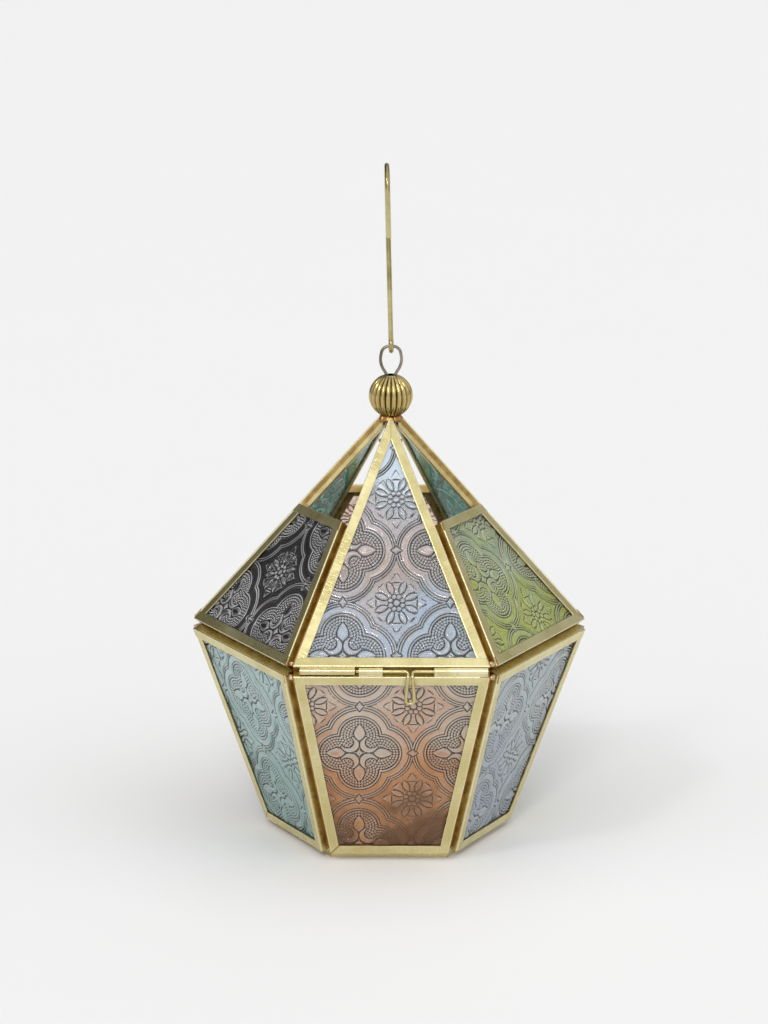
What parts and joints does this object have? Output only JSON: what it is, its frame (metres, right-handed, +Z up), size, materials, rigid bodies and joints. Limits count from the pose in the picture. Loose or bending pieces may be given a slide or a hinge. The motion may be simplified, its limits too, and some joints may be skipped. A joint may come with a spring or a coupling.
{
  "type": "hanging lantern",
  "caption": "Hexagonal glass and brass candle lantern with a hinged pointed roof, sliding bolt latch, fluted finial and hanging hook.",
  "frame": {"origin": "under the middle of the floor, on the surface the lantern stands on", "axes": "+Z up along the lantern's axis, -Y towards the latch (front), +X to the right"},
  "size_m": [0.182, 0.1638, 0.313],
  "materials": {
    "brass_channel": "satin, fine cross-hatch",
    "brass_sheet": "satin sheet",
    "brass_tube": "bright",
    "brass_wire": "bright drawn wire",
    "brass_ball": "bright fluted",
    "solder": "brown, dull solder",
    "steel_wire": "plain wire",
    "glass_amber": "pressed pattern, amber rose",
    "glass_aqua": "pressed pattern, pale aqua",
    "glass_lavender": "pressed pattern, lavender grey",
    "glass_lilac": "pressed pattern, pale lilac",
    "glass_smoke": "pressed pattern, smoke",
    "glass_olive": "pressed pattern, yellow green",
    "glass_rose": "pressed pattern, rose amber",
    "glass_teal": "pressed pattern, teal green"
  },
  "bodies": {
    "base": {"floor_frame": "brass_channel", "floor_plate": "brass_sheet", "base_solder_seams": "solder", "latch_guide_short": "brass_tube", "latch_guide_long": "brass_tube", "hinge_knuckle_left": "brass_tube", "hinge_knuckle_right": "brass_tube", "hinge_pin": "brass_wire", "base_frame_back_right": "brass_channel", "base_frame_back": "brass_channel", "base_frame_back_left": "brass_channel", "base_frame_front_left": "brass_channel", "base_frame_front": "brass_channel", "base_frame_front_right": "brass_channel", "base_pane_back_right": "glass_teal", "base_pane_back": "glass_lilac", "base_pane_back_left": "glass_olive", "base_pane_front_left": "glass_aqua", "base_pane_front": "glass_amber", "base_pane_front_right": "glass_lavender"},
    "lid": {"roof_frame_back_right": "brass_channel", "roof_frame_back": "brass_channel", "roof_frame_back_left": "brass_channel", "roof_frame_front_left": "brass_channel", "roof_frame_front": "brass_channel", "roof_frame_front_right": "brass_channel", "roof_pane_back_right": "glass_teal", "roof_pane_back": "glass_rose", "roof_pane_back_left": "glass_teal", "roof_pane_front_left": "glass_smoke", "roof_pane_front": "glass_lilac", "roof_pane_front_right": "glass_olive", "roof_solder_seams": "solder", "latch_receiver": "brass_tube", "hinge_knuckle_middle": "brass_tube", "apex_collar": "solder", "finial_ball": "brass_ball"},
    "bolt": {"slide_bolt": "brass_wire"},
    "eye": {"eye_loop": "steel_wire"},
    "hook": {"hanging_hook": "brass_wire"}
  },
  "joints": [
    {"name": "lid_hinge", "type": "hinge", "parent": "base", "child": "lid", "pos_m": [0, 0.07962, 0.09887], "axis": [-1, 0, 0], "range_deg": [0, 115]},
    {"name": "bolt_slide", "type": "slide", "parent": "base", "child": "bolt", "axis": [1, 0, 0], "range_m": [-0.0092, 0.0078]},
    {"name": "eye_swivel", "type": "hinge", "parent": "lid", "child": "eye", "pos_m": [0, 0, 0.2229], "axis": [0, 0, 1], "continuous": true},
    {"name": "hook_swing", "type": "hinge", "parent": "eye", "child": "hook", "pos_m": [0, 0, 0.2294], "axis": [1, 0, 0], "range_deg": [-130, 140]}
  ]
}
